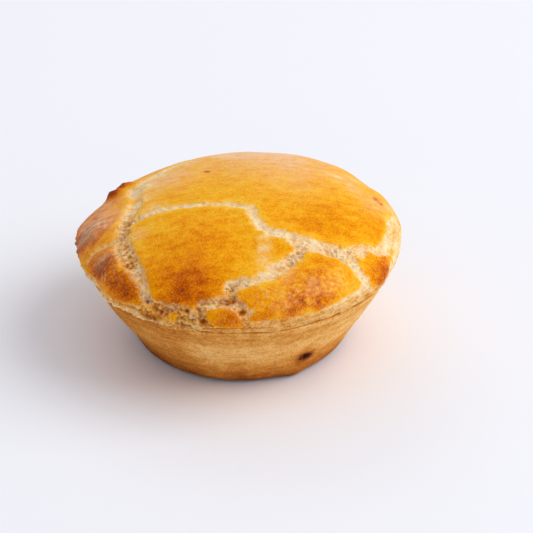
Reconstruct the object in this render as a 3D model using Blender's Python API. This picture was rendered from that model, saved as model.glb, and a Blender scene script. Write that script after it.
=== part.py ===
"""Chicken empada: a small round pie, baked in a plain tapered tin and turned out of it.

It is one solid. A flat base and a flaring wall carry a domed lid, whose glazed top has cracked into
plates with rough dough between them. All sizes are in millimetres until the last step.
The frame has +Z up, the base on Z = 0 and its middle at the origin. The best side faces -Y.
"""

import math

import bmesh
import bpy
import numpy as np
from mathutils import Vector, noise

# The turned form
RIM_RADIUS = 37.5
RIM_HEIGHT = 23.4
DOME_HEIGHT = 13.6
BASE_RADIUS = 24.3
CORNER_RADIUS = 3.7
SEAM_HEIGHT = 20.7

# The lid sits a little off the base's middle, and its crown leans to the right
RIM_SHIFT = -0.8
CROWN_SHIFT = 6.0

# Relief
CRACK_SLOPE = 1.3
LIP_HEIGHT = 0.08
LIP_OFFSET = 0.9
LIP_HALF_WIDTH = 0.8
SEAM_DEPTH = 0.4
SEAM_HALF_WIDTH = 0.55
SEAM_WANDER = 0.5
SEAM_WANDER_SPACING = 8.0
EDGE_WANDER = 0.6
WANDER_SPACING = 4.0
EDGE_FRAY = 0.5
FRAY_SPACING = 1.5
LUMP_HEIGHT = 0.45
LUMP_SPACING = 11.0
CRUMB_SHARE = 0.35
CRUMB_SPACING = 2.2

# The cube that is blown up into the pie is halved this many times, then thinned to this many faces
HALVINGS = 7
FACES = 10500
LID_DENSITY = 1.5
BASE_DENSITY = 0.3

# The crust is measured as if peeled flat: (right, back) from the crown, along the surface.
# A crack is its depth and a chain of (right, back, half width).
CRACKS = {
    "main": (0.22, [
        (-29.7, -7.0, 1.1), (-26.0, -5.4, 0.9), (-21.8, -4.4, 0.8), (-14.4, -4.8, 0.7),
        (-8.7, -5.4, 0.7), (-5.3, -6.6, 0.7), (-2.8, -7.6, 1.0), (-0.6, -15.0, 1.0), (2.1, -17.5, 1.1),
        (5.3, -17.6, 1.3), (8.5, -19.8, 1.9), (15.2, -20.9, 2.0), (20.6, -21.4, 2.3),
        (24.9, -24.2, 1.2), (28.0, -25.5, 1.1), (33.0, -28.0, 2.4),
    ]),
    "right": (0.28, [
        (22.5, -20.0, 1.8), (24.6, -19.1, 1.9), (26.7, -17.3, 1.0), (29.7, -17.0, 1.0),
        (36.0, -10.0, 4.0), (36.2, -5.0, 4.2), (36.0, 1.0, 1.8),
    ]),
    "lower": (0.38, [
        (10.4, -21.5, 1.0), (9.1, -24.5, 1.6), (4.2, -29.3, 1.8), (1.0, -31.9, 0.9), (-4.0, -32.9, 1.7),
        (-3.2, -36.0, 0.9), (3.0, -42.5, 0.8),
    ]),
    "left": (0.60, [
        (-28.9, 11.4, 1.7), (-28.3, 6.0, 1.0), (-28.6, -0.3, 1.8), (-29.7, -4.1, 1.4),
        (-30.3, -8.6, 1.3), (-30.3, -14.0, 1.6), (-28.9, -18.0, 1.6), (-27.4, -21.5, 1.3),
        (-24.0, -28.0, 1.1), (-22.3, -33.5, 0.8), (-18.7, -36.2, 1.3), (-15.2, -38.6, 2.0),
        (-11.4, -40.4, 1.9), (-9.2, -37.2, 1.0), (-4.5, -36.6, 1.0), (-1.0, -37.9, 0.9),
        (1.8, -39.8, 0.8),
    ]),
    "ridge": (0.45, [
        (-31.5, -12.0, 0.6), (-36.1, -12.0, 0.4), (-40.0, -14.0, 0.6),
    ]),
    "back": (0.20, [
        (-28.6, 9.0, 1.6), (-27.0, 15.0, 1.1), (-22.0, 22.0, 0.9), (-16.0, 27.5, 0.8),
        (-7.9, 31.0, 0.9), (3.5, 34.0, 0.9), (9.0, 35.0, 1.1), (17.0, 39.0, 2.0),
    ]),
    "back branch": (0.25, [
        (-14.5, 29.0, 1.2), (-16.0, 33.0, 1.1), (-15.5, 41.0, 1.8),
    ]),
    "far right": (0.25, [
        (15.0, 34.0, 1.4), (24.5, 25.0, 1.2), (36.0, 19.0, 1.6),
    ]),
}

# Places where the crust swells or sinks: (right, back, radius, height)
SWELLS = {
    "left front bump": (-31.0, -21.5, 5.5, 1.1),
    "left ridge": (-36.5, -4.0, 5.0, 0.9),
    "left rim": (-41.0, 4.0, 6.0, 0.7),
    "under left front": (-38.5, -20.0, 6.5, -1.3),
    "left shoulder": (-36.0, 15.0, 6.0, -0.9),
    "back left": (-24.0, 19.0, 7.0, -0.7),
    "right front bump": (17.0, -31.5, 8.5, 0.7),
    "middle plate": (-13.0, -22.0, 13.0, 0.6),
    "front chip": (-1.8, -41.0, 3.2, 0.5),
    "right plate": (34.5, -20.5, 6.0, 0.9),
    "right back": (27.0, 18.0, 9.0, -0.9),
    "left wall": (-43.0, -31.0, 9.0, 0.4),
    "right wall": (43.0, -20.0, 9.0, 0.4),
    "right foot": (33.0, -58.0, 9.0, 0.6),
    "baked drop low": (-33.4, 14.7, 2.6, 1.4),
    "baked drop high": (-30.8, 17.5, 2.6, 1.5),
    "wall pit": (31.4, -51.8, 1.3, -0.5),
}

CRUST = ("golden crust", (0.80, 0.42, 0.08, 1.0), 0.45)


def clear_scene():
    for old in list(bpy.data.objects):
        bpy.data.objects.remove(old)


def smooth_step(low, high, value):
    share = np.clip((value - low) / (high - low), 0.0, 1.0)
    return share * share * (3.0 - 2.0 * share)


def turned_profile(steps=160):
    """Radius and height of the pie's outline, from the crown round to the middle of the base."""
    turn = np.linspace(0.0, math.pi / 2, steps)
    dome = np.column_stack([RIM_RADIUS * np.sin(turn), RIM_HEIGHT + DOME_HEIGHT * np.cos(turn)])
    taper = math.atan2(RIM_RADIUS - BASE_RADIUS, RIM_HEIGHT)
    corner_middle = BASE_RADIUS - CORNER_RADIUS * math.tan(math.pi / 4 - taper / 2)
    corner_top = CORNER_RADIUS * (1.0 - math.sin(taper))
    height = np.linspace(RIM_HEIGHT, corner_top, steps)
    wall = np.column_stack([BASE_RADIUS + height * math.tan(taper), height])
    turn = np.linspace(-taper, -math.pi / 2, steps // 4)
    corner = np.column_stack([
        corner_middle + CORNER_RADIUS * np.cos(turn),
        CORNER_RADIUS + CORNER_RADIUS * np.sin(turn),
    ])
    radius = np.linspace(corner_middle, 0.0, steps // 2)
    base = np.column_stack([radius, np.zeros_like(radius)])
    return np.vstack([dome, wall[1:], corner[1:], base[1:]])


class Outline:
    """The turned profile, read by the length along it from the crown."""

    def __init__(self):
        points = turned_profile()
        steps = np.hypot(*np.diff(points, axis=0).T)
        self.radius, self.height = points.T
        self.along = np.concatenate([[0.0], np.cumsum(steps)])
        self.rim = self.along[np.argmax(self.radius)]
        on_wall = (self.along > self.rim) & (self.radius > BASE_RADIUS)
        self.seam = np.interp(-SEAM_HEIGHT, -self.height[on_wall], self.along[on_wall])
        # Bands of the surface, weighed by how closely faces are wanted there
        middle = (self.along[1:] + self.along[:-1]) / 2
        density = np.where(middle < self.seam + 2.0, LID_DENSITY, 1.0)
        density = np.where(self.height[1:] <= 0.0, BASE_DENSITY, density)
        band = density * (self.radius[1:] + self.radius[:-1]) * steps
        self.share = np.concatenate([[0.0], np.cumsum(band)]) / band.sum()

    def along_at(self, share):
        return np.interp(share, self.share, self.along)

    def at(self, along):
        return np.interp(along, self.along, self.radius), np.interp(along, self.along, self.height)


def noise_at(points, spacing, offset=0.0):
    """Soft noise between -1 and 1, with lumps about this far apart."""
    return np.array([noise.noise(Vector(p) / spacing + Vector((offset, 0.0, 0.0))) for p in points])


def distance_to_chain(chain, right, back):
    """How far each place is from the edge of this chain, which is negative inside it."""
    nearest = np.full(len(right), 1e3)
    for (r0, b0, w0), (r1, b1, w1) in zip(chain, chain[1:]):
        step_r, step_b = r1 - r0, b1 - b0
        share = ((right - r0) * step_r + (back - b0) * step_b) / (step_r**2 + step_b**2)
        share = np.clip(share, 0.0, 1.0)
        gap = np.hypot(right - r0 - share * step_r, back - b0 - share * step_b)
        nearest = np.minimum(nearest, gap - w0 - share * (w1 - w0))
    return nearest


def cracks_at(right, back):
    """How far each place is from the nearest crack's edge, and how deep it lies in a crack."""
    nearest = np.full(len(right), 1e3)
    sunk = np.zeros(len(right))
    for depth, chain in CRACKS.values():
        edge = distance_to_chain(chain, right, back)
        nearest = np.minimum(nearest, edge)
        sunk = np.maximum(sunk, depth * smooth_step(CRACK_SLOPE / 3, -CRACK_SLOPE * 2 / 3, edge))
    return nearest, sunk


def relief(outline, right, back, points):
    """How far each place of the smooth form stands out, along its normal."""
    along = np.hypot(right, back)
    off_base = smooth_step(0.0, CORNER_RADIUS, points[:, 2])
    height = LUMP_HEIGHT * noise_at(points, LUMP_SPACING) * off_base

    for centre_right, centre_back, radius, swell in SWELLS.values():
        gap = np.hypot(right - centre_right, back - centre_back) / radius
        height += swell * np.exp(-2.0 * gap**2)

    wander = [EDGE_WANDER * noise_at(points, WANDER_SPACING, offset)
              + EDGE_FRAY * noise_at(points, FRAY_SPACING, offset) for offset in (11.0, 23.0)]
    edge, sunk = cracks_at(right + wander[0], back + wander[1])
    above_seam = smooth_step(outline.seam, outline.rim, along)
    lip = LIP_HEIGHT * np.exp(-((edge - LIP_OFFSET) / LIP_HALF_WIDTH) ** 2)
    crumbs = 1.0 + CRUMB_SHARE * noise_at(points, CRUMB_SPACING, 37.0)
    height += above_seam * (lip - sunk * crumbs)

    seam_gap = along - outline.seam + SEAM_WANDER * noise_at(points, SEAM_WANDER_SPACING, 51.0)
    height -= SEAM_DEPTH * np.exp(-(seam_gap / SEAM_HALF_WIDTH) ** 2)
    return height


def blown_up_cube():
    """A cube cut into even squares and pushed out to a ball."""
    mesh = bmesh.new()
    bmesh.ops.create_cube(mesh, size=2.0)
    for _ in range(HALVINGS):
        bmesh.ops.subdivide_edges(mesh, edges=mesh.edges[:], cuts=1, use_grid_fill=True)
    for vertex in mesh.verts:
        vertex.co.normalize()
    return mesh


def pie_points(ball):
    """Lets the ball down over the turned outline, so that its faces stay even, and adds the relief."""
    outline = Outline()
    azimuth = np.arctan2(ball[:, 1], ball[:, 0])
    along = outline.along_at((1.0 - ball[:, 2]) / 2)
    right, back = along * np.cos(azimuth), along * np.sin(azimuth)
    radius, height = outline.at(along)
    shift = RIM_SHIFT * np.clip(height / RIM_HEIGHT, 0.0, 1.0)
    shift += CROWN_SHIFT * np.clip((height - RIM_HEIGHT) / DOME_HEIGHT, 0.0, 1.0)
    points = np.column_stack([radius * np.cos(azimuth) + shift, radius * np.sin(azimuth), height])

    reach = 0.2
    outer, outer_height = outline.at(along + reach)
    inner, inner_height = outline.at(np.maximum(along - reach, 0.0))
    run, drop = outer - inner, inner_height - outer_height
    length = np.hypot(run, drop)
    normal = np.column_stack([
        drop / length * np.cos(azimuth),
        drop / length * np.sin(azimuth),
        run / length,
    ])
    normal[np.hypot(radius, height) < reach] = (0.0, 0.0, -1.0)
    on_base = height <= 0.0
    out = relief(outline, right, back, points)
    out[on_base] = 0.0
    points += normal * out[:, None]
    points[:, 2] = np.maximum(points[:, 2], 0.0)
    points[:, :2] -= (points[:, :2].max(axis=0) + points[:, :2].min(axis=0)) / 2
    return points


def crust_material():
    name, colour, roughness = CRUST
    material = bpy.data.materials.new(name)
    material.use_nodes = True
    shader = material.node_tree.nodes["Principled BSDF"]
    shader.inputs["Base Color"].default_value = colour
    shader.inputs["Roughness"].default_value = roughness
    shader.inputs["Metallic"].default_value = 0.0
    return material


def build_empada(collection):
    shape = blown_up_cube()
    ball = np.array([vertex.co for vertex in shape.verts])
    for vertex, point in zip(shape.verts, pie_points(ball)):
        vertex.co = point * 0.001
    shape.normal_update()
    mesh = bpy.data.meshes.new("empada")
    shape.to_mesh(mesh)
    shape.free()
    mesh.materials.append(crust_material())
    mesh.shade_smooth()
    empada = bpy.data.objects.new("empada", mesh)
    collection.objects.link(empada)
    thin = empada.modifiers.new("fewer faces", "DECIMATE")
    thin.ratio = FACES / (2 * len(mesh.polygons))
    thin.use_collapse_triangulate = True
    return empada


clear_scene()
parts = bpy.data.collections.new("chicken empada")
bpy.context.scene.collection.children.link(parts)
build_empada(parts)
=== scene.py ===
import math

import bmesh
import bpy
import numpy as np
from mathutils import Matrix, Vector, noise


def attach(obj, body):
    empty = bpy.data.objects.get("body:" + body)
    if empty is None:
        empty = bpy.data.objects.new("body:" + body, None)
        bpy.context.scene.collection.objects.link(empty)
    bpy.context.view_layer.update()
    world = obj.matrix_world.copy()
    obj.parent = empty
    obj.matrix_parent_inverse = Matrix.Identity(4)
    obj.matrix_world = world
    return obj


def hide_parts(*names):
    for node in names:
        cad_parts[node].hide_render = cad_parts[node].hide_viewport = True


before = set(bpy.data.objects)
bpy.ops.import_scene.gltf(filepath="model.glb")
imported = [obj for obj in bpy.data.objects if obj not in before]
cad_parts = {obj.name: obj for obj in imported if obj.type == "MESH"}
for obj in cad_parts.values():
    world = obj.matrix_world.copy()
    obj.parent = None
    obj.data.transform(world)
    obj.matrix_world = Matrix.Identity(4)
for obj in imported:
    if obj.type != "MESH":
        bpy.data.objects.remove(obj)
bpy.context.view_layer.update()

millimetre = 0.001

# The pie's form in millimetres, the same as the solid's
form = {
    "rimRadius": 37.5,
    "rimHeight": 23.4,
    "domeHeight": 13.6,
    "baseRadius": 24.3,
    "cornerRadius": 3.7,
    "seamHeight": 20.7,
    "rimShift": -0.8,
    "crownShift": 6.0,
    "lumpHeight": 0.45,
    "lumpSpacing": 11.0,
    "crackSlope": 1.3,
    "lipHeight": 0.08,
    "lipOffset": 0.9,
    "lipHalfWidth": 0.8,
    "wander": 0.6,
    "wanderSpacing": 4.0,
    "fray": 0.5,
    "fraySpacing": 1.5,
    "crumbShare": 0.35,
    "crumbSpacing": 2.2,
    "seamDepth": 0.4,
    "seamHalfWidth": 0.55,
    "seamWander": 0.5,
    "seamWanderSpacing": 8.0,
    "halvings": 7,       # of the cube that is blown up into the pie
    "lidDensity": 1.5,   # of the mesh, down to a little below the seam
    "lidMargin": 2.0,
    "baseDensity": 0.3,
    "slopeReach": 0.2,   # each side of a place, for its slope
    "footHeight": 1.5,   # up to which the fine relief dies away to the floor
    "mapWidth": 200.0,   # of the square that holds the peeled crust
}

# The crust is measured as if peeled flat: (right, back) from the crown, along the surface.
# A crack is its depth and a chain of (right, back, half width).
cracks = {
    "main": (0.22, [
        (-29.7, -7.0, 1.1), (-26.0, -5.4, 0.9), (-21.8, -4.4, 0.8), (-14.4, -4.8, 0.7),
        (-8.7, -5.4, 0.7), (-5.3, -6.6, 0.7), (-2.8, -7.6, 1.0), (-0.6, -15.0, 1.0), (2.1, -17.5, 1.1),
        (5.3, -17.6, 1.3), (8.5, -19.8, 1.9), (15.2, -20.9, 2.0), (20.6, -21.4, 2.3),
        (24.9, -24.2, 1.2), (28.0, -25.5, 1.1), (33.0, -28.0, 2.4),
    ]),
    "right": (0.28, [
        (22.5, -20.0, 1.8), (24.6, -19.1, 1.9), (26.7, -17.3, 1.0), (29.7, -17.0, 1.0),
        (36.0, -10.0, 4.0), (36.2, -5.0, 4.2), (36.0, 1.0, 1.8),
    ]),
    "lower": (0.38, [
        (10.4, -21.5, 1.0), (9.1, -24.5, 1.6), (4.2, -29.3, 1.8), (1.0, -31.9, 0.9), (-4.0, -32.9, 1.7),
        (-3.2, -36.0, 0.9), (3.0, -42.5, 0.8),
    ]),
    "left": (0.60, [
        (-28.9, 11.4, 1.7), (-28.3, 6.0, 1.0), (-28.6, -0.3, 1.8), (-29.7, -4.1, 1.4),
        (-30.3, -8.6, 1.3), (-30.3, -14.0, 1.6), (-28.9, -18.0, 1.6), (-27.4, -21.5, 1.3),
        (-24.0, -28.0, 1.1), (-22.3, -33.5, 0.8), (-18.7, -36.2, 1.3), (-15.2, -38.6, 2.0),
        (-11.4, -40.4, 1.9), (-9.2, -37.2, 1.0), (-4.5, -36.6, 1.0), (-1.0, -37.9, 0.9),
        (1.8, -39.8, 0.8),
    ]),
    "ridge": (0.45, [
        (-31.5, -12.0, 0.6), (-36.1, -12.0, 0.4), (-40.0, -14.0, 0.6),
    ]),
    "back": (0.20, [
        (-28.6, 9.0, 1.6), (-27.0, 15.0, 1.1), (-22.0, 22.0, 0.9), (-16.0, 27.5, 0.8),
        (-7.9, 31.0, 0.9), (3.5, 34.0, 0.9), (9.0, 35.0, 1.1), (17.0, 39.0, 2.0),
    ]),
    "back branch": (0.25, [
        (-14.5, 29.0, 1.2), (-16.0, 33.0, 1.1), (-15.5, 41.0, 1.8),
    ]),
    "far right": (0.25, [
        (15.0, 34.0, 1.4), (24.5, 25.0, 1.2), (36.0, 19.0, 1.6),
    ]),
}

# Places where the crust swells or sinks: (right, back, radius, height)
swells = {
    "left front bump": (-31.0, -21.5, 5.5, 1.1),
    "left ridge": (-36.5, -4.0, 5.0, 0.9),
    "left rim": (-41.0, 4.0, 6.0, 0.7),
    "under left front": (-38.5, -20.0, 6.5, -1.3),
    "left shoulder": (-36.0, 15.0, 6.0, -0.9),
    "back left": (-24.0, 19.0, 7.0, -0.7),
    "right front bump": (17.0, -31.5, 8.5, 0.7),
    "middle plate": (-13.0, -22.0, 13.0, 0.6),
    "front chip": (-1.8, -41.0, 3.2, 0.5),
    "right plate": (34.5, -20.5, 6.0, 0.9),
    "right back": (27.0, 18.0, 9.0, -0.9),
    "left wall": (-43.0, -31.0, 9.0, 0.4),
    "right wall": (43.0, -20.0, 9.0, 0.4),
    "right foot": (33.0, -58.0, 9.0, 0.6),
    "baked drop low": (-33.4, 14.7, 2.6, 1.4),
    "baked drop high": (-30.8, 17.5, 2.6, 1.5),
    "wall pit": (31.4, -51.8, 1.3, -0.5),
}

# How far down the lid the egg glaze runs: (azimuth in degrees, length from the crown)
glazeReach = [
    (-180, 43.2), (-165, 43.2), (-155, 42.4), (-149, 42.2), (-142, 42.2), (-133, 42.4), (-127, 42.0),
    (-122, 40.2), (-103, 39.6), (-99, 42.0), (-94, 43.6), (-88, 44.0), (-85, 41.6), (-62, 41.3),
    (-52, 40.6), (-44, 39.6), (-37, 41.6), (-30, 41.4), (-26, 39.4), (-20, 36.8), (-8, 38.0), (3, 40.5),
    (40, 41.5), (100, 41.0), (150, 42.0), (180, 43.2),
]

# Soft places in the crust's finish: (right, back, radius, amount)
glazeDrips = {
    "front lip": (-16.1, -39.4, 2.1, 5.0),
    "front left": (-20.2, -37.6, 1.3, 4.0),
    "across the left crack": (-29.0, 4.4, 1.6, 2.4),
    "right edge": (35.4, -12.6, 1.5, 3.6),
    "right edge low": (37.0, -15.5, 1.4, 3.2),
}
thinGlaze = {
    "beside the small plate": (1.4, -23.0, 1.9, 0.55),
    "above the small plate": (1.2, -19.6, 1.8, 0.55),
    "below the small plate": (2.2, -26.6, 2.2, 0.50),
    "over the front plate": (7.5, -29.5, 3.0, 0.25),
    "over the main crack": (-24.0, -2.6, 3.0, 0.35),
    # The right back patches are partly thin glaze and partly a painted sheen
    "right back low": (18.5, 12.4, 3.6, 0.40),
    "right back": (21.5, 8.5, 3.2, 0.38),
    "right back high": (23.0, 5.0, 3.0, 0.28),
    "right shoulder": (24.5, 14.5, 4.0, 0.35),
    "right edge": (33.5, 3.5, 3.0, 0.40),
    "beside the left crack": (-26.6, 3.5, 2.6, 0.55),
    "beside the left crack low": (-27.6, -12.5, 3.2, 0.45),
    "top left": (-26.0, 10.5, 3.2, 0.70),
    "top left middle": (-23.0, 18.0, 3.8, 0.60),
    "top left high": (-17.0, 23.0, 4.2, 0.50),
    "top left far": (-9.0, 26.0, 4.2, 0.35),
}
baked = {
    "middle plate": (-14.0, -20.0, 13.0, 0.20),
    "middle plate low": (-16.5, -32.5, 9.5, 0.30),
    "middle plate low right": (-10.5, -32.0, 7.5, 0.20),
    "middle plate corner": (-9.8, -35.6, 2.5, 0.24),
    "middle plate foot": (-15.5, -36.0, 4.5, 0.20),
    "left front bump": (-34.5, -18.0, 7.5, 0.60),
    "left front bump middle": (-30.5, -25.0, 5.5, 0.32),
    "left front bump low": (-27.0, -29.5, 6.0, 0.43),
    "left ridge": (-38.5, -4.0, 7.5, 0.80),
    "left back": (-38.0, 8.0, 8.0, 0.50),
    "large plate low": (14.0, -12.0, 12.0, 0.20),
    "large plate right": (28.0, -9.0, 8.0, 0.14),
    "speck": (-12.7, 13.2, 1.0, 0.90),
    "right speck": (29.0, 4.8, 1.3, 0.80),
    "right speck side": (30.6, 3.4, 1.0, 0.60),
    "front plate": (13.0, -33.0, 9.0, 0.22),
    "front plate top": (17.0, -25.5, 6.0, 0.14),
    "front plate crust": (17.0, -34.4, 2.3, 0.26),
    "front plate crust left": (13.2, -35.2, 2.3, 0.20),
    "front plate crust right": (20.8, -33.0, 2.3, 0.22),
    "front plate edge": (6.0, -40.2, 3.8, 0.34),
    "front plate edge middle": (12.5, -38.2, 3.6, 0.30),
    "front plate edge right": (19.8, -35.6, 3.6, 0.30),
    "front plate left": (0.8, -36.5, 4.0, 0.12),
    "small plate": (5.5, -22.3, 4.5, 0.08),
    "right plate": (34.2, -20.8, 7.0, 0.47),
    "front chip": (-2.2, -40.5, 7.0, 0.38),
    "back": (5.0, 38.0, 12.0, 0.20),
    "back left": (-25.0, 34.0, 9.0, 0.25),
    "back right": (32.0, 30.0, 9.0, 0.15),
    "baked drop low": (-33.6, 14.5, 2.8, 0.75),
    "baked drop high": (-30.8, 17.7, 2.8, 0.75),
}
# Where a pale pinkish sheen is painted into the glaze's colour, a painted highlight, and where the glaze
# also gets a glossy coat
paintedAndGlossySheen = {
    "back": (2.0, 27.0, 19.0, 1.05),
    "top": (8.0, 8.0, 12.0, 0.26),
    "top left": (-22.0, 12.0, 9.0, 0.55),
    "left plate": (-36.0, -2.0, 7.5, 0.66),
    "left plate back": (-36.0, 7.0, 5.0, 0.45),
    "left front bump": (-34.5, -16.0, 4.0, 0.30),
    "front plate": (14.5, -32.3, 3.2, 0.28),
    "front plate right": (19.3, -29.8, 3.0, 0.20),
    "front plate low": (9.5, -36.8, 2.5, 0.20),
    "right": (28.5, 1.5, 6.0, 0.45),
    "baked drops": (-32.0, 16.5, 4.0, -0.60),
}
toasted = {
    "left crack": (-29.0, -12.0, 12.0, 0.12),
    "left crack back": (-29.0, 6.0, 8.0, 0.05),
    "front": (-12.0, -38.0, 11.0, -0.04),
    "burnt halo": (31.6, -51.5, 3.6, 0.40),
    "burnt halo left": (28.6, -53.4, 2.8, 0.35),
    "burnt halo right": (34.6, -49.8, 2.8, 0.35),
    "front hole": (-8.4, -41.0, 1.2, 0.60),
    "front hole left": (-12.8, -37.9, 1.1, 0.50),
    "front hole right": (0.2, -39.5, 1.1, 0.60),
    "lower crack": (5.0, -29.0, 7.0, 0.08),
    "wall low left": (-24.0, -50.0, 9.0, 0.12),
    "wall low middle": (0.0, -65.0, 8.0, 0.16),
    "right crack": (22.0, -20.0, 8.0, 0.03),
    "right edge": (36.0, -5.0, 9.0, 0.22),
}
blistered = {
    "front plate": (14.0, -33.0, 7.5, 0.7),
    "front plate left": (5.5, -35.0, 6.5, 0.5),
    "front plate right": (21.5, -29.5, 6.0, 0.6),
    "middle plate": (-14.0, -28.0, 9.0, 0.08),
    "left front bump": (-31.0, -22.0, 8.0, 0.5),
    "front chip": (-3.0, -40.5, 5.0, 0.2),
    "right plate": (34.0, -20.5, 6.0, 0.15),
}
porous = {
    "front": (-13.0, -40.0, 8.0, 1.0),
    "front left": (-21.5, -36.0, 6.0, 0.9),
    "front right": (-3.0, -35.5, 4.5, 1.0),
    "left": (-28.0, -20.0, 8.0, 0.6),
    "left high": (-29.0, -8.0, 6.0, 0.5),
    "middle": (9.0, -24.0, 5.0, 0.4),
    "right": (20.0, -22.0, 6.0, 0.4),
}

# Single pits in the dough: (right, back, radius, depth)
pits = {
    "front hole": (-8.4, -41.0, 0.9, 0.6),
    "front hole left": (-12.8, -37.9, 0.7, 0.5),
    "front hole right": (0.2, -39.5, 0.7, 0.5),
    "burnt spot": (31.4, -51.8, 0.9, 0.3),
}

# The two baked drops at the left are blunt and knobbly: (right, back, radius, height)
knobs = {
    "low": (-34.0, 14.0, 1.7, 0.2),
    "between": (-32.1, 16.0, 1.2, -0.4),
    "high": (-30.7, 17.7, 1.5, -0.5),
}

# Where the left side is rough in its own ways: (right, back, radius, share)
roughDrops = {"drops": (-32.1, 16.2, 4.0, 1.0)}
tornRim = {
    "left": (-41.5, -2.0, 6.0, 1.0),
    "left high": (-40.5, 7.0, 5.0, 0.8),
}
ridgedPlate = {
    "middle": (-36.0, -4.0, 9.0, 1.0),
    "back": (-35.0, 8.0, 7.0, 0.6),
}

# Burnt marks: (right, back, radius, strength)
burns = {
    "burnt spot": (31.2, -51.7, 1.9, 1.7),
    "burnt spot left": (29.3, -52.9, 1.4, 0.9),
    "burnt spot right": (33.3, -50.4, 1.7, 1.3),
    "crack speck": (-13.2, -4.6, 0.6, 0.7),
    "crack speck middle": (-7.2, -6.0, 0.5, 0.6),
    "crack speck right": (-5.4, -6.0, 0.6, 0.7),
}


def smoothStep(low, high, value):
    share = np.clip((value - low) / (high - low), 0.0, 1.0)
    return share * share * (3.0 - 2.0 * share)


# Smooth noise around 0; each offset reads another stretch of it
def noiseAt(points, spacing, offset=0.0):
    shift = Vector((offset, 0.0, 0.0))
    return np.array([noise.noise(Vector(p) / spacing + shift) for p in points])


# What varies over the crust beyond the solid's relief: (spacing in millimetres, offset)
patterns = {
    "glaze wander": (3.0, 71.0),
    "glaze ripple": (1.4, 73.0),
    "glaze fray": (0.8, 61.0),
    "drip fray": (1.2, 75.0),
    "thin patches": (1.6, 77.0),
    "shiny patches": (2.5, 79.0),
    "blisters": (0.8, 17.0),
    "mottle": (4.0, 83.0),
    "dough specks": (1.3, 85.0),
    "crumbs": (0.9, 91.0),
    "grain": (0.62, 95.0),
    "flakes": (1.1, 31.0),
    "small flakes": (0.6, 33.0),
    "fold strength": (2.2, 49.0),
    "knobs": (0.9, 53.0),
    # These are read on coordinates that are drawn out one way
    "glints": (1.0, 15.0),
    "strokes": (1.0, 13.0),
    "creases": (1.0, 29.0),
    "fold wobble": (2.5, 41.0),
    "fold breaks": (6.0, 45.0),
    "ridges": (1.0, 43.0),
    "streaks": (1.0, 47.0),
}


def patternAt(name, points):
    return noiseAt(points, *patterns[name])


def flatPoints(across, down):
    return np.column_stack([across, down, np.zeros(len(across))])


foam = {
    "skin": 0.3,      # share of the spacing that a bubble's skin takes
    "depth": 0.2,     # of a middling bubble, squared
    "spread": 0.8,    # to both sides of that
    "jump": 7.3,      # gives each bubble a noise cell of its own
}


# 1 in the middle of a burst bubble and 0 on the skins between them; some bubbles are whole
def foamAt(points, spacing, offset=0.0):
    shift = Vector((offset, 0.0, 0.0))
    depth = np.zeros(len(points))
    for number, point in enumerate(points):
        gaps, middles = noise.voronoi(Vector(point) / spacing + shift)
        share = min((gaps[1] - gaps[0]) / foam["skin"], 1.0)
        burst = foam["depth"] + foam["spread"] * noise.cell(middles[0] * foam["jump"])
        depth[number] = share * max(burst, 0.0) ** 0.5
    return depth


def bellAt(middleRight, middleBack, radius, right, back):
    gap = np.hypot(right - middleRight, back - middleBack) / radius
    return np.exp(-2.0 * gap**2)


def spotsAt(spots, right, back):
    total = np.zeros(len(right))
    for middleRight, middleBack, radius, amount in spots.values():
        total += amount * bellAt(middleRight, middleBack, radius, right, back)
    return total


# The band's amount at its middle, dying away past its half width
def bandAt(value, band):
    middle, halfWidth, amount = band
    return amount * np.exp(-((value - middle) / halfWidth) ** 2)


def turnedProfile(steps=160):
    rimRadius, rimHeight, domeHeight = form["rimRadius"], form["rimHeight"], form["domeHeight"]
    baseRadius, cornerRadius = form["baseRadius"], form["cornerRadius"]
    turn = np.linspace(0.0, math.pi / 2, steps)
    dome = np.column_stack([rimRadius * np.sin(turn), rimHeight + domeHeight * np.cos(turn)])
    taper = math.atan2(rimRadius - baseRadius, rimHeight)
    cornerMiddle = baseRadius - cornerRadius * math.tan(math.pi / 4 - taper / 2)
    height = np.linspace(rimHeight, cornerRadius * (1.0 - math.sin(taper)), steps)
    wall = np.column_stack([baseRadius + height * math.tan(taper), height])
    turn = np.linspace(-taper, -math.pi / 2, steps // 4)
    corner = np.column_stack([
        cornerMiddle + cornerRadius * np.cos(turn),
        cornerRadius + cornerRadius * np.sin(turn),
    ])
    radius = np.linspace(cornerMiddle, 0.0, steps // 2)
    base = np.column_stack([radius, np.zeros_like(radius)])
    return np.vstack([dome, wall[1:], corner[1:], base[1:]])


# The turned profile, read by the length along it from the crown
def makeOutline():
    points = turnedProfile()
    steps = np.hypot(*np.diff(points, axis=0).T)
    radius, height = points.T
    along = np.concatenate([[0.0], np.cumsum(steps)])
    rim = along[np.argmax(radius)]
    onWall = (along > rim) & (radius > form["baseRadius"])
    seam = np.interp(-form["seamHeight"], -height[onWall], along[onWall])
    middle = (along[1:] + along[:-1]) / 2
    density = np.where(middle < seam + form["lidMargin"], form["lidDensity"], 1.0)
    density = np.where(height[1:] <= 0.0, form["baseDensity"], density)
    band = density * (radius[1:] + radius[:-1]) * steps
    share = np.concatenate([[0.0], np.cumsum(band)]) / band.sum()
    return {"radius": radius, "height": height, "along": along, "rim": rim, "seam": seam, "share": share}


def distanceToChain(chain, right, back):
    nearest = np.full(len(right), 1e3)
    for (r0, b0, w0), (r1, b1, w1) in zip(chain, chain[1:]):
        stepRight, stepBack = r1 - r0, b1 - b0
        share = ((right - r0) * stepRight + (back - b0) * stepBack) / (stepRight**2 + stepBack**2)
        share = np.clip(share, 0.0, 1.0)
        gap = np.hypot(right - r0 - share * stepRight, back - b0 - share * stepBack)
        nearest = np.minimum(nearest, gap - w0 - share * (w1 - w0))
    return nearest


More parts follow.
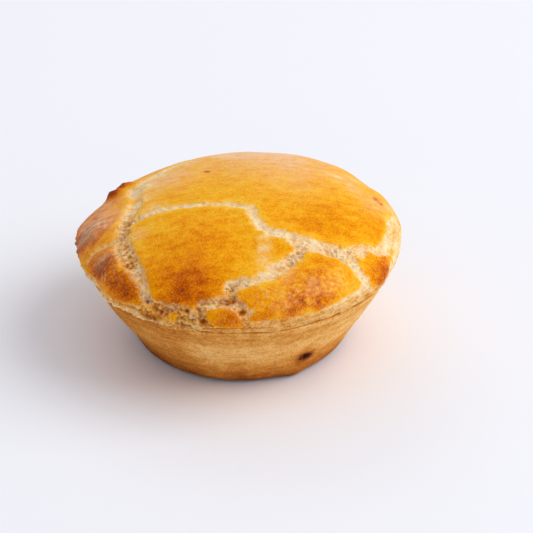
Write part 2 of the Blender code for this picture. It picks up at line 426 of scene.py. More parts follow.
# How far each place is from the nearest crack's edge, less than 0 inside it, and how deep it lies
def cracksAt(right, back):
    slope = form["crackSlope"]
    nearest = np.full(len(right), 1e3)
    sunk = np.zeros(len(right))
    for depth, chain in cracks.values():
        edge = distanceToChain(chain, right, back)
        nearest = np.minimum(nearest, edge)
        sunk = np.maximum(sunk, depth * smoothStep(slope / 3, -slope * 2 / 3, edge))
    return nearest, sunk


def blownUpCube():
    shape = bmesh.new()
    bmesh.ops.create_cube(shape, size=2.0)
    for _ in range(form["halvings"]):
        bmesh.ops.subdivide_edges(shape, edges=shape.edges[:], cuts=1, use_grid_fill=True)
    for vertex in shape.verts:
        vertex.co.normalize()
    return shape


# Lets the ball down over the turned outline and keeps what later steps read about each place
def smoothCrust(ball):
    outline = makeOutline()
    azimuth = np.arctan2(ball[:, 1], ball[:, 0])
    along = np.interp((1.0 - ball[:, 2]) / 2, outline["share"], outline["along"])

    def at(length):
        return (np.interp(length, outline["along"], outline["radius"]),
                np.interp(length, outline["along"], outline["height"]))

    radius, height = at(along)
    shift = form["rimShift"] * np.clip(height / form["rimHeight"], 0.0, 1.0)
    shift += form["crownShift"] * np.clip((height - form["rimHeight"]) / form["domeHeight"], 0.0, 1.0)
    points = np.column_stack([radius * np.cos(azimuth) + shift, radius * np.sin(azimuth), height])
    reach = form["slopeReach"]
    outer, outerHeight = at(along + reach)
    inner, innerHeight = at(np.maximum(along - reach, 0.0))
    run, drop = outer - inner, innerHeight - outerHeight
    length = np.hypot(run, drop)
    normal = np.column_stack([
        drop / length * np.cos(azimuth),
        drop / length * np.sin(azimuth),
        run / length,
    ])
    normal[np.hypot(radius, height) < reach] = (0.0, 0.0, -1.0)
    return {
        "points": points, "normal": normal, "along": along, "azimuth": azimuth, "height": height,
        "right": along * np.cos(azimuth), "back": along * np.sin(azimuth),
        "rim": outline["rim"], "seam": outline["seam"],
    }


# The relief that the solid has too
def mainRelief(crust):
    right, back, points, along = crust["right"], crust["back"], crust["points"], crust["along"]
    offBase = smoothStep(0.0, form["cornerRadius"], points[:, 2])
    height = form["lumpHeight"] * noiseAt(points, form["lumpSpacing"]) * offBase
    height += spotsAt(swells, right, back)
    wander = [form["wander"] * noiseAt(points, form["wanderSpacing"], offset)
              + form["fray"] * noiseAt(points, form["fraySpacing"], offset) for offset in (11.0, 23.0)]
    edge, sunk = cracksAt(right + wander[0], back + wander[1])
    aboveSeam = smoothStep(crust["seam"], crust["rim"], along)
    lip = bandAt(edge, (form["lipOffset"], form["lipHalfWidth"], form["lipHeight"]))
    crumbs = 1.0 + form["crumbShare"] * noiseAt(points, form["crumbSpacing"], 37.0)
    height += aboveSeam * (lip - sunk * crumbs)
    seamWander = form["seamWander"] * noiseAt(points, form["seamWanderSpacing"], 51.0)
    crust["below"] = along - crust["seam"] + seamWander
    height -= bandAt(crust["below"], (0.0, form["seamHalfWidth"], form["seamDepth"]))
    crust["edge"], crust["sunk"] = edge, sunk
    return height


# Where the glaze ends, in millimetres, and how patchy it is
glazeFinish = {
    "wander": 0.7,
    "ripple": 0.5,
    "fray": 0.35,
    "dripFray": 0.8,
    "edge": 0.5,               # half the width over which it ends
    "limit": 4.0,              # no length past its end is kept beyond this
    "thinPatches": 0.9,
    "thinFray": 0.5,
    "thinnest": 0.85,
    # How patchy the painted sheen is, with painted glints across the lid
    "shinyPatches": 0.5,
    "shinyBlisters": 0.9,
    "shinyGlints": 0.9,
    "glintScale": (0.22, 0.9),
    "blisterLimit": 1.5,
    "burntFray": 1.2,
    "burntEdge": (0.25, 0.85),
}


# Where the glaze lies, thins, blisters and is burnt, and where a sheen is painted on it and it gets a
# glossy coat
def glazeFields(crust):
    right, back, points, along = crust["right"], crust["back"], crust["points"], crust["along"]
    look = glazeFinish
    fray = patternAt("glaze fray", points)
    reach = np.interp(np.degrees(crust["azimuth"]), *np.array(glazeReach).T)
    pastRim = along - reach + look["wander"] * patternAt("glaze wander", points)
    pastRim += look["ripple"] * patternAt("glaze ripple", points)
    drips = spotsAt(glazeDrips, right, back) * (1.0 + look["dripFray"] * patternAt("drip fray", points))
    past = np.maximum(-crust["edge"], pastRim) + look["fray"] * fray - drips
    crust["past"] = np.clip(past, -look["limit"], look["limit"])
    crust["glaze"] = smoothStep(look["edge"], -look["edge"], crust["past"])
    crust["bare"] = 1.0 - crust["glaze"]
    patches = 1.0 + look["thinPatches"] * patternAt("thin patches", points) + look["thinFray"] * fray
    crust["thin"] = np.clip(spotsAt(thinGlaze, right, back) * patches, 0.0, look["thinnest"])

    # The painted sheen, patchy and streaked with painted glints; it also sets the glossy coat
    patches = 1.0 + look["shinyPatches"] * patternAt("shiny patches", points)
    patches += look["shinyBlisters"] * patternAt("blisters", points)
    scaleRight, scaleBack = look["glintScale"]
    glints = patternAt("glints", flatPoints(right * scaleRight, back * scaleBack))
    shiny = spotsAt(paintedAndGlossySheen, right, back) * (patches + look["shinyGlints"] * glints)
    crust["paintedAndGlossySheen"] = np.clip(shiny, 0.0, 1.0)
    blisters = spotsAt(blistered, right, back) * crust["glaze"] * patches
    crust["blistered"] = np.clip(blisters, 0.0, look["blisterLimit"])
    burnt = spotsAt(burns, right, back) * (1.0 + look["burntFray"] * fray)
    crust["burnt"] = smoothStep(*look["burntEdge"], burnt)


# How far the glaze and the dough are baked, from 0, pale, to 1, dark, with painted shade and painted
# light worked in where marked
bakeFinish = {
    "glaze": 0.32,
    "glazeMottle": 0.08,
    "dough": 0.04,
    "doughMottle": 0.10,
    "doughSpecks": 0.10,
    "doughSpots": 0.25,        # share of the glaze's baked spots that shows in the dough
    "sunkPaintedShade": 0.12,         # painted shade, more for each millimetre that it lies sunk
    "rim": 0.32,               # more at the rim than on the lid
    "rimRise": (-2.5, 0.5),    # millimetres past the rim over which that grows
    "wall": 0.45,
    "wallMottle": 0.03,
    "wallStart": (-0.8, 2.8),  # millimetres below the seam over which the wall's bake takes over
    "wallEdge": 0.4,
    "shadedSide": -170.0,        # azimuth in degrees of the side painted darker, a painted shade away from the light
    # the rim and the wall darker on that side: painted shade
    "rimShade": 0.08,
    "wallShade": 0.15,
    "porous": 0.20,            # of the dough away from its most porous places
    # Bands of the wall: (middle, half width, amount); litFront's are in degrees of azimuth, and it is
    # painted light on the front of the wall
    "lowWall": (0.0, 7.0, 0.40),
    "foot": (0.0, 1.6, 0.28),
    # a painted shadow under the seam's overhang
    "shadowUnderSeam": (4.0, 3.0, 0.06),
    "litFront": (-96.0, 26.0, -0.18),
    "litFrontStart": (3.0, 9.0),   # millimetres below the seam
}


def bakeFields(crust):
    right, back, points = crust["right"], crust["back"], crust["points"]
    look = bakeFinish
    belowSeam, pastRim = crust["along"] - crust["seam"], crust["along"] - crust["rim"]
    mottle = patternAt("mottle", points)
    spots = spotsAt(baked, right, back)
    # Painted shade, darker on the side away from the light
    side = np.cos(crust["azimuth"] - math.radians(look["shadedSide"]))
    glazed = look["glaze"] + spots + look["glazeMottle"] * mottle
    dough = look["dough"] + look["doughMottle"] * mottle + look["doughSpots"] * spots
    dough += look["doughSpecks"] * patternAt("dough specks", points)
    dough += (look["rim"] + look["rimShade"] * side) * smoothStep(*look["rimRise"], pastRim)
    dough += look["sunkPaintedShade"] * crust["sunk"]
    wall = look["wall"] + look["wallShade"] * side + look["wallMottle"] * mottle
    wall += bandAt(crust["height"], look["lowWall"]) + bandAt(belowSeam, look["shadowUnderSeam"])
    wall += bandAt(crust["height"], look["foot"])
    # Painted light, paler on the front of the wall
    litFront = bandAt(np.degrees(crust["azimuth"]), look["litFront"])
    wall += litFront * smoothStep(*look["litFrontStart"], belowSeam)
    down = smoothStep(*look["wallStart"], crust["below"])
    crust["bake"] = np.clip(glazed, 0.0, 1.0)
    crust["toast"] = dough + (wall - dough) * down + spotsAt(toasted, right, back)
    crust["porous"] = np.clip(look["porous"] + spotsAt(porous, right, back), 0.0, 1.0)
    crust["wall"] = smoothStep(-look["wallEdge"], look["wallEdge"], crust["below"])


# Relief too fine for the solid, in millimetres, with the tones that go with it, some of them painted
# shade and painted light
fineForm = {
    "crumbStart": (0.6, -0.8),                        # millimetres below the seam
    "bubbles": [(0.45, 1.7, 5.0), (0.55, 0.95, 9.0)],  # share, spacing, offset
    "poreDepth": 1.0,
    "poreShade": 1.5,
    "crumb": (0.10, 0.20),                            # everywhere, and more where it is porous
    # painted shade in the crumb's hollows and painted light on its ridges
    "crumbPaintedShade": (0.15, 0.35),
    "grain": 0.030,
    "blisteredGrain": 0.06,
    "crumbGrain": 0.05,
    "wallGrain": 0.012,
    "strokes": 0.045,
    "strokeScale": (0.10, 0.85),
    "blisters": 0.32,
    "blisterShade": 0.50,
    "ringScale": (4.0, 1.3),                          # along the rim and across it
    "creases": (-1.6, 1.8, 0.14),                     # a band: middle, half width, height
    "raggedSide": -150.0,                             # azimuth in degrees
    "raggedEdge": (0.6, 0.8),
    "smallFlakes": 0.5,
    "lipBand": (0.0, 1.9, 1.0),
    "lipEdge": (0.4, -0.2),
    "lipFray": 0.9,
    "lipHeight": 0.8,
    "lipFlakes": 0.65,
    "lipShade": (0.16, 0.30, 0.40),                   # painted shade overall, less where painted light falls on its flakes and its overlap
    "foldPlaces": {"fold": 0.8, "high fold": -0.7},   # millimetres below the seam
    "foldWobble": 0.5,
    "highFoldWobble": -1.0,
    "foldBand": (0.0, 0.32, 0.42),
    "foldLeast": 0.35,
    "foldFade": (-0.3, 0.1),
    "foldBreak": (-0.2, 0.1),
    "foldLimit": 2.0,
    "tornBand": (-2.4, 1.4, 1.0),
    "tornHeight": 1.5,
    "tornShade": 0.5,
    "knobRoughness": 0.4,
    "ridges": 0.34,
    "ridgeShade": 0.35,
    "ridgeAcross": (0.63, -0.50),                     # for each millimetre right and back
    "ridgeAlong": (0.09, 0.11),
    "streaks": 0.07,
    "streakScale": (0.12, 0.12, 1.1),
}


# Burst bubbles, torn crumb, pits and grain
def doughRelief(crust):
    right, back, points = crust["right"], crust["back"], crust["points"]
    crumb = crust["bare"] * smoothStep(*fineForm["crumbStart"], crust["below"])
    bubbles = 0.0
    for share, spacing, offset in fineForm["bubbles"]:
        bubbles = bubbles + share * foamAt(points, spacing, offset)
    pores = crumb * crust["porous"] * bubbles
    crumbs = crumb * patternAt("crumbs", points)
    even, more = fineForm["crumb"]
    height = (even + more * crust["porous"]) * crumbs - fineForm["poreDepth"] * pores
    # Painted light on the crumb's ridges and painted shade in its hollows, in step with its relief
    even, more = fineForm["crumbPaintedShade"]
    crust["toast"] -= (even + more * crust["porous"]) * crumbs
    grain = fineForm["grain"] + fineForm["blisteredGrain"] * crust["blistered"]
    grain += fineForm["crumbGrain"] * crumb + fineForm["wallGrain"] * crust["wall"]
    height += grain * patternAt("grain", points)
    for middleRight, middleBack, radius, depth in pits.values():
        hole = bellAt(middleRight, middleBack, radius, right, back)
        height -= depth * hole
        pores = np.maximum(pores, hole)
    # Painted shade down in the pores and pits, together with their browned insides
    crust["pores"] = np.clip(fineForm["poreShade"] * pores, 0.0, 1.0)
    return height


# Brush marks and blisters
def glazeRelief(crust):
    scaleRight, scaleBack = fineForm["strokeScale"]
    drawnOut = flatPoints(crust["right"] * scaleRight, crust["back"] * scaleBack)
    strokes = crust["glaze"] * patternAt("strokes", drawnOut)
    blisters = crust["blistered"] * patternAt("blisters", crust["points"])
    crust["bake"] -= fineForm["blisterShade"] * blisters
    return fineForm["strokes"] * strokes + fineForm["blisters"] * blisters


# Creases and folds round the rim, and a ragged lip where it hangs over the wall at the left
def rimRelief(crust):
    points, azimuth, along = crust["points"], crust["azimuth"], crust["along"]
    belowSeam = along - crust["seam"]
    scaleRound, scaleDown = fineForm["ringScale"]
    rings = flatPoints(azimuth * scaleRound, along * scaleDown)
    height = bandAt(belowSeam, fineForm["creases"]) * patternAt("creases", rings)

    side = np.cos(azimuth - math.radians(fineForm["raggedSide"]))
    ragged = smoothStep(*fineForm["raggedEdge"], side)
    flakes = patternAt("flakes", points) + fineForm["smallFlakes"] * patternAt("small flakes", points)
    overlap = smoothStep(*fineForm["lipEdge"], crust["below"] + fineForm["lipFray"] * flakes)
    lip = ragged * bandAt(belowSeam, fineForm["lipBand"])
    height += lip * (fineForm["lipHeight"] * overlap + fineForm["lipFlakes"] * flakes)
    # Painted shade under the overhanging lip, and painted light on its raised flakes and on its overlap
    shade, flakeShade, overlapShade = fineForm["lipShade"]
    crust["toast"] += lip * (shade - flakeShade * flakes - overlapShade * overlap)
    crust["flaky"], crust["flakes"] = lip, flakes

    wobble = patternAt("fold wobble", rings)
    least = fineForm["foldLeast"]
    strength = smoothStep(*fineForm["foldFade"], patternAt("fold strength", points))
    broken = smoothStep(*fineForm["foldBreak"], patternAt("fold breaks", rings))
    folds = {
        "fold": (fineForm["foldWobble"] * wobble, least + (1.0 - least) * strength),
        "high fold": (fineForm["highFoldWobble"] * wobble, broken),
    }
    for name, (shift, share) in folds.items():
        gap = belowSeam - fineForm["foldPlaces"][name] + shift
        crust[name] = (1.0 - ragged) * share
        crust[name + " gap"] = np.clip(gap, -fineForm["foldLimit"], fineForm["foldLimit"])
        height -= crust[name] * bandAt(gap, fineForm["foldBand"])
    return height


# The torn rim, the rough drops and the slanting ridges of the left plate
def leftRelief(crust):
    right, back, points = crust["right"], crust["back"], crust["points"]
    torn = spotsAt(tornRim, right, back) * bandAt(crust["along"] - crust["seam"], fineForm["tornBand"])
    height = fineForm["tornHeight"] * torn * np.maximum(crust["flakes"], 0.0)
    drops = spotsAt(roughDrops, right, back) * patternAt("knobs", points)
    height += spotsAt(knobs, right, back) + fineForm["knobRoughness"] * drops
    acrossRight, acrossBack = fineForm["ridgeAcross"]
    alongRight, alongBack = fineForm["ridgeAlong"]
    slanting = flatPoints(right * acrossRight + back * acrossBack, right * alongRight + back * alongBack)
    ridges = spotsAt(ridgedPlate, right, back) * crust["glaze"] * patternAt("ridges", slanting)
    crust["bake"] += fineForm["tornShade"] * torn - fineForm["ridgeShade"] * ridges
    return height + fineForm["ridges"] * ridges


# Faint level streaks
def wallRelief(crust):
    streaks = patternAt("streaks", crust["points"] * np.array(fineForm["streakScale"]))
    return fineForm["streaks"] * crust["wall"] * streaks


def fineRelief(crust):
    height = doughRelief(crust) + glazeRelief(crust) + rimRelief(crust)
    height += leftRelief(crust) + wallRelief(crust)
    for name in ("bake", "toast"):
        crust[name] = np.clip(crust[name], 0.0, 1.0)
    return height


# What the material reads at each vertex
fields = (
    "past", "thin", "bake", "toast", "pores", "porous", "burnt", "paintedAndGlossySheen", "blistered", "flaky", "wall",
    "fold", "fold gap", "high fold", "high fold gap",
)


def addField(mesh, name, values):
    field = mesh.attributes.new(name, "FLOAT", "POINT")
    field.data.foreach_set("value", values.astype(np.float32))


def buildEmpada():
    shape = blownUpCube()
    crust = smoothCrust(np.array([vertex.co for vertex in shape.verts]))
    offBase = crust["height"] > 0.0
    points = crust["points"] + crust["normal"] * (mainRelief(crust) * offBase)[:, None]
    points[:, :2] -= (points[:, :2].max(axis=0) + points[:, :2].min(axis=0)) / 2
    print("main relief done")
    glazeFields(crust)
    bakeFields(crust)
    offFloor = smoothStep(0.0, form["footHeight"], crust["height"])
    points += crust["normal"] * (fineRelief(crust) * offFloor)[:, None]
    points[:, 2] = np.maximum(points[:, 2], 0.0)
    print("fine relief done")
    for vertex, point in zip(shape.verts, points):
        vertex.co = point * millimetre
    shape.normal_update()
    mesh = bpy.data.meshes.new("empada_crust")
    shape.to_mesh(mesh)
    shape.free()
    mesh.shade_smooth()
    for name in fields:
        addField(mesh, name, crust[name])
    peeled = np.column_stack([crust["right"], crust["back"]]) / form["mapWidth"] + 0.5
    corners = np.zeros(len(mesh.loops), np.int32)
    mesh.loops.foreach_get("vertex_index", corners)
    layer = mesh.uv_layers.new(name="peeled crust")
    layer.data.foreach_set("uv", peeled[corners].astype(np.float32).ravel())
    piece = bpy.data.objects.new("empada_crust", mesh)
    bpy.context.scene.collection.objects.link(piece)
    return piece


# A colour as the screen shows it, from 0 to 255, made linear
def fromScreen(red, green, blue):
    def linear(value):
        value /= 255.0
        return value / 12.92 if value <= 0.04045 else ((value + 0.055) / 1.055) ** 2.4
    return (linear(red), linear(green), linear(blue), 1.0)


crustLook = {
    "glazed": [(0.0, (253, 206, 96)), (0.2, (252, 190, 44)), (0.4, (248, 166, 4)), (0.6, (232, 132, 1)),
               (0.8, (198, 90, 2)), (1.0, (136, 56, 6))],
    "dough": [(0.0, (255, 230, 184)), (0.3, (255, 199, 119)), (0.5, (228, 156, 70)),
              (0.7, (190, 112, 40)), (1.0, (128, 64, 18))],
    # The pale pinkish colour of the painted sheen
    "paintedAndGlossySheen": (250, 192, 136),
    # The brown of a pore's inside, darkened as painted shade
    "shadedPore": (156, 70, 2),
    "fold": (184, 104, 16),   # browner down in the creases by the seam, partly painted shade
    "burnt": (70, 30, 18),
    # The coordinates' scales: millimetres, drawn out across the lid, and in level rings
    "millimetres": (1000.0, 1000.0, 1000.0),
    "drawnOut": (40.0, 130.0, 1.0),
    "level": (120.0, 120.0, 1100.0),
    # Noises: coordinates, scale, detail
    "tears": ("millimetres", 1.3, 4.0),
    "specks": ("millimetres", 4.0, 4.0),
    "mottle": ("millimetres", 0.45, 5.0),
    "freckles": ("millimetres", 1.4, 3.0),
    "grain": ("millimetres", 2.6, 4.0),
    "strokes": ("drawnOut", 1.0, 4.0),
    "rings": ("level", 1.0, 3.0),
    "tearWidth": 0.7,         # millimetres that the glaze's torn edge wanders
    "speckWidth": 0.8,        # the same for its fine specks
    "edgeWidth": 0.45,        # millimetres over which the glaze thins out
    "edgePaling": 0.10,
    "palingWidth": 2.2,
    "stainShare": 0.46,       # of glaze that has soaked into the porous dough
    "stainStep": (0.5, 1.0),
    "mottleShare": 0.26,
    "doughMottle": 0.6,       # share of the glaze's mottle that the dough has
    "freckleShare": 0.12,
    "freckleStep": (0.53, 0.68),
    "streakShare": 0.20,
    "grainShare": 0.42,
    "wallGrainShare": 0.26,
    "glazeGrainShare": 0.40,
    "flakeShare": 0.7,
    "blisterSheenShare": 0.55,
    "blisterSheenStep": (0.50, 0.58),
    "ringShare": 0.20,
    "foldStep": (0.42, 0.04),
    "finePoreShare": 0.95,
    "pinholeScales": (0.8, 1.5),
    "pinholeBurst": (0.35, 0.50),
    "pinholeEdge": (0.42, 0.30),
    "shine": 0.035,
    "sheenCoat": 0.45,
    "coatRoughness": 0.28,
    "glazedRoughness": 0.36,
    "doughRoughness": 0.75,
    "mottleRoughness": 0.12,
    "glow": 0.20,             # light that goes through the glazed crust
    "doughGlow": 0.45,        # and through the bare dough
    "glowReach": 0.0012,
    "glowSpread": (1.0, 0.5, 0.2),
    "bumpHeight": 0.0002,
    "strokeBump": 0.4,
}


def addNode(tree, kind, place, **settings):
    node = tree.nodes.new(kind)
    node.location = place
    for name, value in settings.items():
        setattr(node, name, value)
    return node


def addRamp(tree, place, stops):
    node = addNode(tree, "ShaderNodeValToRGB", place)
    ramp = node.color_ramp
    while len(ramp.elements) < len(stops):
        ramp.elements.new(0.5)
    for element, (position, colour) in zip(ramp.elements, stops):
        element.position = position
        if isinstance(colour, tuple):
            element.color = fromScreen(*colour)
        else:
            element.color = (colour, colour, colour, 1.0)
    return node


def addMath(tree, place, operation, first, second):
    node = addNode(tree, "ShaderNodeMath", place, operation=operation)
    for socket, value in zip(node.inputs, (first, second)):
        if isinstance(value, (int, float)):
            socket.default_value = value
        else:
            tree.links.new(value, socket)
    return node.outputs[0]


def addNoise(tree, place, vector, scale, detail):
    node = addNode(tree, "ShaderNodeTexNoise", place)
    node.inputs["Scale"].default_value = scale
    node.inputs["Detail"].default_value = detail
    tree.links.new(vector, node.inputs["Vector"])
    return node.outputs["Fac"]


# Adds or multiplies several values in turn
def addChain(tree, place, operation, values):
    total = values[0]
    for number, value in enumerate(values[1:]):
        total = addMath(tree, (place[0] + 100 * number, place[1]), operation, total, value)
    return total


# Turns a noise around a half into one that goes share to both sides of 0
def addSwing(tree, place, value, share):
    centred = addMath(tree, place, "SUBTRACT", value, 0.5)
    return addMath(tree, (place[0] + 100, place[1]), "MULTIPLY", centred, share * 2)


# low where the share is 0 and high where it is 1
def addBetween(tree, place, share, low, high):
    part = addMath(tree, place, "MULTIPLY", share, high - low)
    return addMath(tree, (place[0] + 100, place[1]), "ADD", part, low)


# 0 at low and 1 at high, with a soft change between them
def addStep(tree, place, value, low, high):
    node = addNode(tree, "ShaderNodeMapRange", place, interpolation_type="SMOOTHSTEP")
    node.inputs["From Min"].default_value = min(low, high)
    node.inputs["From Max"].default_value = max(low, high)
    node.inputs["To Min"].default_value = 0.0 if low < high else 1.0
    node.inputs["To Max"].default_value = 1.0 if low < high else 0.0
    tree.links.new(value, node.inputs["Value"])
    return node.outputs["Result"]


# A mix's colours are its inputs 6 and 7 and its output 2
def addMix(tree, place, share, first, second):
    node = addNode(tree, "ShaderNodeMix", place, data_type="RGBA")
    tree.links.new(share, node.inputs["Factor"])
    for socket, value in ((node.inputs[6], first), (node.inputs[7], second)):
        if isinstance(value, tuple):
            socket.default_value = value
        else:
            tree.links.new(value, socket)
    return node.outputs[2]


# The attributes, coordinates and noises that the rest of the material reads
def crustReadings(tree):
    read = {}
    for number, name in enumerate(fields):
        place = (-1900, 1400 - 150 * number)
        read[name] = addNode(tree, "ShaderNodeAttribute", place, attribute_name=name).outputs["Fac"]
    where = addNode(tree, "ShaderNodeTexCoord", (-2100, -1100)).outputs["Object"]
    peeled = addNode(tree, "ShaderNodeUVMap", (-2100, -1500), uv_map="peeled crust").outputs["UV"]
    sources = {"millimetres": where, "drawnOut": peeled, "level": where}
    for number, (name, source) in enumerate(sources.items()):
        node = addNode(tree, "ShaderNodeMapping", (-1900, -1000 - 400 * number))
        node.inputs["Scale"].default_value = crustLook[name]
        tree.links.new(source, node.inputs["Vector"])
        read[name] = node.outputs["Vector"]
    for number, name in enumerate(("tears", "specks", "mottle", "freckles", "grain", "strokes", "rings")):
        coordinates, scale, detail = crustLook[name]
        read[name] = addNoise(tree, (-1600, 1400 - 250 * number), read[coordinates], scale, detail)
    read["darker"] = addSwing(tree, (-1300, 900), read["mottle"], crustLook["mottleShare"])
    return read


# How much glaze covers each place, torn at its edge, and how much paler it is near there
def glazeCover(tree, read):
    past = read["past"]
    for name, width, place in (("tears", "tearWidth", 1400), ("specks", "speckWidth", 1200)):
        tearing = addSwing(tree, (-1300, place), read[name], crustLook[width])
        past = addMath(tree, (-1100, place), "ADD", past, tearing)
    cover = addStep(tree, (-1000, 1200), past, crustLook["edgeWidth"], -crustLook["edgeWidth"])
    thick = addMath(tree, (-1000, 1000), "SUBTRACT", 1.0, read["thin"])
    cover = addMath(tree, (-900, 1200), "MULTIPLY", cover, thick)
    stain = addStep(tree, (-1000, 800), read["porous"], *crustLook["stainStep"])
    stain = addMath(tree, (-900, 800), "MULTIPLY", stain, crustLook["stainShare"])
    cover = addMath(tree, (-800, 1200), "MAXIMUM", cover, stain)
    paling = addStep(tree, (-1000, 1400), past, -crustLook["palingWidth"], 0.0)
    paling = addMath(tree, (-900, 1400), "MULTIPLY", paling, crustLook["edgePaling"])
    return cover, paling


# Baked unevenly, with freckles and brush marks, and mixed toward a painted sheen where it shines and in
# pale spots on its blisters
def glazeColour(tree, read, paling):
    low, high = crustLook["freckleStep"]
    freckled = addRamp(tree, (-1300, 600), [(low, 0.0), (high, 1.0)])
    tree.links.new(read["freckles"], freckled.inputs["Fac"])
    speckled = [freckled.outputs["Color"], read["bake"], crustLook["freckleShare"]]
    speckled = addChain(tree, (-1000, 600), "MULTIPLY", speckled)
    brushed = addSwing(tree, (-1000, 500), read["strokes"], crustLook["streakShare"])
    grainy = addSwing(tree, (-1000, 400), read["grain"], crustLook["glazeGrainShare"])
    level = addChain(tree, (-700, 600), "ADD", [read["bake"], read["darker"], speckled, brushed, grainy])
    level = addMath(tree, (-300, 600), "SUBTRACT", level, paling)
    # Painted highlights: pale spots on the blisters, and the painted sheen, mix toward the sheen's colour
    bubbles = addStep(tree, (-1000, 300), read["freckles"], *crustLook["blisterSheenStep"])
    shares = [bubbles, read["blistered"], crustLook["blisterSheenShare"]]
    bubbles = addChain(tree, (-800, 300), "MULTIPLY", shares)
    pale = addMath(tree, (-600, 300), "MAXIMUM", read["paintedAndGlossySheen"], bubbles)
    glazed = addRamp(tree, (-200, 500), crustLook["glazed"])
    tree.links.new(level, glazed.inputs["Fac"])
    return addMix(tree, (100, 400), pale, glazed.outputs["Color"], fromScreen(*crustLook["paintedAndGlossySheen"]))


# Toasted unevenly, grained and flaky, and brown in the folds by the seam, where the brown is partly
# painted shade
def doughColour(tree, read):
    mottled = addMath(tree, (-1000, 100), "MULTIPLY", read["darker"], crustLook["doughMottle"])
    ringed = addSwing(tree, (-1000, 0), read["rings"], crustLook["ringShare"])
    shares = crustLook["grainShare"], crustLook["wallGrainShare"]
    coarse = addBetween(tree, (-1000, -100), read["wall"], *shares)
    grainy = addSwing(tree, (-1000, -200), read["grain"], 1.0)
    grainy = addMath(tree, (-800, -200), "MULTIPLY", grainy, coarse)
    flaked = addSwing(tree, (-1000, -300), read["freckles"], crustLook["flakeShare"])
    flaked = addMath(tree, (-800, -300), "MULTIPLY", flaked, read["flaky"])
    level = addChain(tree, (-700, 0), "ADD", [read["toast"], mottled, ringed, grainy, flaked])
    dough = addRamp(tree, (-200, 0), crustLook["dough"])
    tree.links.new(level, dough.inputs["Fac"])

    # Browning and painted shade down in the creases
    folds = 0.0
    for name, place in (("fold", -500), ("high fold", -700)):
        gap = addMath(tree, (-1000, place), "ABSOLUTE", read[name + " gap"], 0.0)
        fold = addStep(tree, (-900, place), gap, *crustLook["foldStep"])
        fold = addMath(tree, (-700, place), "MULTIPLY", fold, read[name])
        folds = addMath(tree, (-600, place), "MAXIMUM", fold, folds)
    return addMix(tree, (100, 0), folds, dough.outputs["Color"], fromScreen(*crustLook["fold"]))


# Painted shade, with the brown of their insides, in the modelled pores and in pinholes in the bare dough
# that are finer than those
def holeShade(tree, read, bareDough):
    holes = read["pores"]
    for scale, place in zip(crustLook["pinholeScales"], (-900, -1200)):
        pinholes = addNode(tree, "ShaderNodeTexVoronoi", (-1300, place))
        pinholes.inputs["Scale"].default_value = scale
        tree.links.new(read["millimetres"], pinholes.inputs["Vector"])
        burst = addStep(tree, (-1100, place - 150), pinholes.outputs["Color"], *crustLook["pinholeBurst"])
        pinned = addStep(tree, (-1100, place), pinholes.outputs["Distance"], *crustLook["pinholeEdge"])
        shares = [pinned, burst, bareDough, read["porous"], crustLook["finePoreShare"]]
        pinned = addChain(tree, (-900, place), "MULTIPLY", shares)
        holes = addMath(tree, (-500, place), "MAXIMUM", holes, pinned)
    return holes


def crustMaterial():
    material = bpy.data.materials.new("baked crust")
    material.use_nodes = True
    tree = material.node_tree
    shader = tree.nodes["Principled BSDF"]
    read = crustReadings(tree)
    cover, paling = glazeCover(tree, read)
    bareDough = addMath(tree, (-700, 1000), "SUBTRACT", 1.0, cover)
    holes = holeShade(tree, read, bareDough)
    colour = addMix(tree, (300, 200), cover, doughColour(tree, read), glazeColour(tree, read, paling))
    colour = addMix(tree, (500, 200), holes, colour, fromScreen(*crustLook["shadedPore"]))
    colour = addMix(tree, (700, 200), read["burnt"], colour, fromScreen(*crustLook["burnt"]))
    tree.links.new(colour, shader.inputs["Base Color"])

    shares = crustLook["glazedRoughness"], crustLook["doughRoughness"]
    rough = addBetween(tree, (300, -100), bareDough, *shares)
    uneven = addMath(tree, (400, -200), "MULTIPLY", read["mottle"], crustLook["mottleRoughness"])
    rough = addMath(tree, (600, -100), "ADD", rough, uneven)
    tree.links.new(rough, shader.inputs["Roughness"])
    shader.inputs["Specular IOR Level"].default_value = crustLook["shine"]
    coat = addMath(tree, (600, -300), "MULTIPLY", read["paintedAndGlossySheen"], crustLook["sheenCoat"])
    tree.links.new(coat, shader.inputs["Coat Weight"])
    shader.inputs["Coat Roughness"].default_value = crustLook["coatRoughness"]
    glow = addBetween(tree, (500, -400), bareDough, crustLook["glow"], crustLook["doughGlow"])
    tree.links.new(glow, shader.inputs["Subsurface Weight"])
    shader.inputs["Subsurface Radius"].default_value = crustLook["glowSpread"]
    shader.inputs["Subsurface Scale"].default_value = crustLook["glowReach"]

    ripple = addMath(tree, (300, -700), "MULTIPLY", read["strokes"], crustLook["strokeBump"])
    ripple = addMath(tree, (400, -700), "ADD", ripple, read["grain"])
    ripple = addMath(tree, (500, -700), "SUBTRACT", ripple, holes)
    bump = addNode(tree, "ShaderNodeBump", (600, -700))
    bump.inputs["Strength"].default_value = 1.0
    bump.inputs["Distance"].default_value = crustLook["bumpHeight"]
    tree.links.new(ripple, bump.inputs["Height"])
    tree.links.new(bump.outputs["Normal"], shader.inputs["Normal"])
    return material


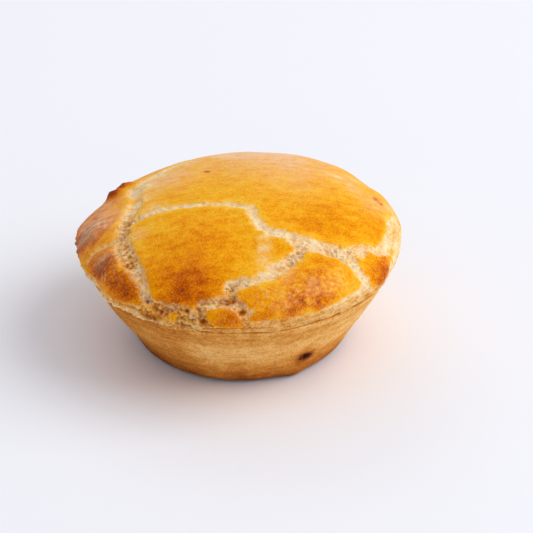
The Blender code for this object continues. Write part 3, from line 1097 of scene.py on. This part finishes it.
stage = {
    "floorColour": (244, 246, 251),
    "floorSize": 6.0,
    "floorRoughness": 0.6,
    "airColour": (0.975, 0.965, 1.0),
    "airStrength": 0.59,
    "lights": {  # place, width, height, watts, colour
        "key": ((1.20, -0.06, 1.05), 1.35, 1.35, 17.8, (0.985, 0.99, 1.0)),
        "back": ((-0.35, 0.85, 0.70), 0.8, 0.5, 1.2, (0.96, 0.96, 1.0)),
    },
    "target": (0.00658, 0.00003, 0.0167),
    "elevation": 30.0,
    "distance": 0.5,
    "focalPixels": 2125.0,
    "imagePixels": 533,
    "sensorWidth": 36.0,
    "clipStart": 0.01,
}


def buildStage():
    shape = bmesh.new()
    bmesh.ops.create_grid(shape, x_segments=1, y_segments=1, size=stage["floorSize"] / 2)
    mesh = bpy.data.meshes.new("floor")
    shape.to_mesh(mesh)
    shape.free()
    floor = bpy.data.objects.new("floor", mesh)
    bpy.context.scene.collection.objects.link(floor)
    material = bpy.data.materials.new("pale floor")
    material.use_nodes = True
    shader = material.node_tree.nodes["Principled BSDF"]
    shader.inputs["Base Color"].default_value = fromScreen(*stage["floorColour"])
    shader.inputs["Roughness"].default_value = stage["floorRoughness"]
    mesh.materials.append(material)

    world = bpy.data.worlds.new("studio")
    world.use_nodes = True
    air = world.node_tree.nodes["Background"]
    air.inputs["Color"].default_value = (*stage["airColour"], 1.0)
    air.inputs["Strength"].default_value = stage["airStrength"]
    bpy.context.scene.world = world

    for name, (place, width, height, watts, colour) in stage["lights"].items():
        light = bpy.data.lights.new(name, "AREA")
        light.shape = "RECTANGLE"
        light.size = width
        light.size_y = height
        light.energy = watts
        light.color = colour
        lamp = bpy.data.objects.new(name, light)
        lamp.location = place
        lamp.rotation_euler = (-Vector(place)).to_track_quat("-Z", "Y").to_euler()
        bpy.context.scene.collection.objects.link(lamp)


def buildCamera():
    tilt = math.radians(stage["elevation"])
    ahead = Vector((0.0, math.cos(tilt), -math.sin(tilt)))
    view = bpy.data.cameras.new("camera")
    view.sensor_width = stage["sensorWidth"]
    view.lens = stage["focalPixels"] * stage["sensorWidth"] / stage["imagePixels"]
    view.clip_start = stage["clipStart"]
    camera = bpy.data.objects.new("camera", view)
    camera.location = Vector(stage["target"]) - ahead * stage["distance"]
    camera.rotation_euler = ahead.to_track_quat("-Z", "Y").to_euler()
    bpy.context.scene.collection.objects.link(camera)
    bpy.context.scene.camera = camera
    bpy.context.scene.view_settings.view_transform = "Standard"


empada = buildEmpada()
empada.data.materials.append(crustMaterial())
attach(empada, "root")
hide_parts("empada")
print("empada done")

buildStage()
buildCamera()
print("stage and camera done")
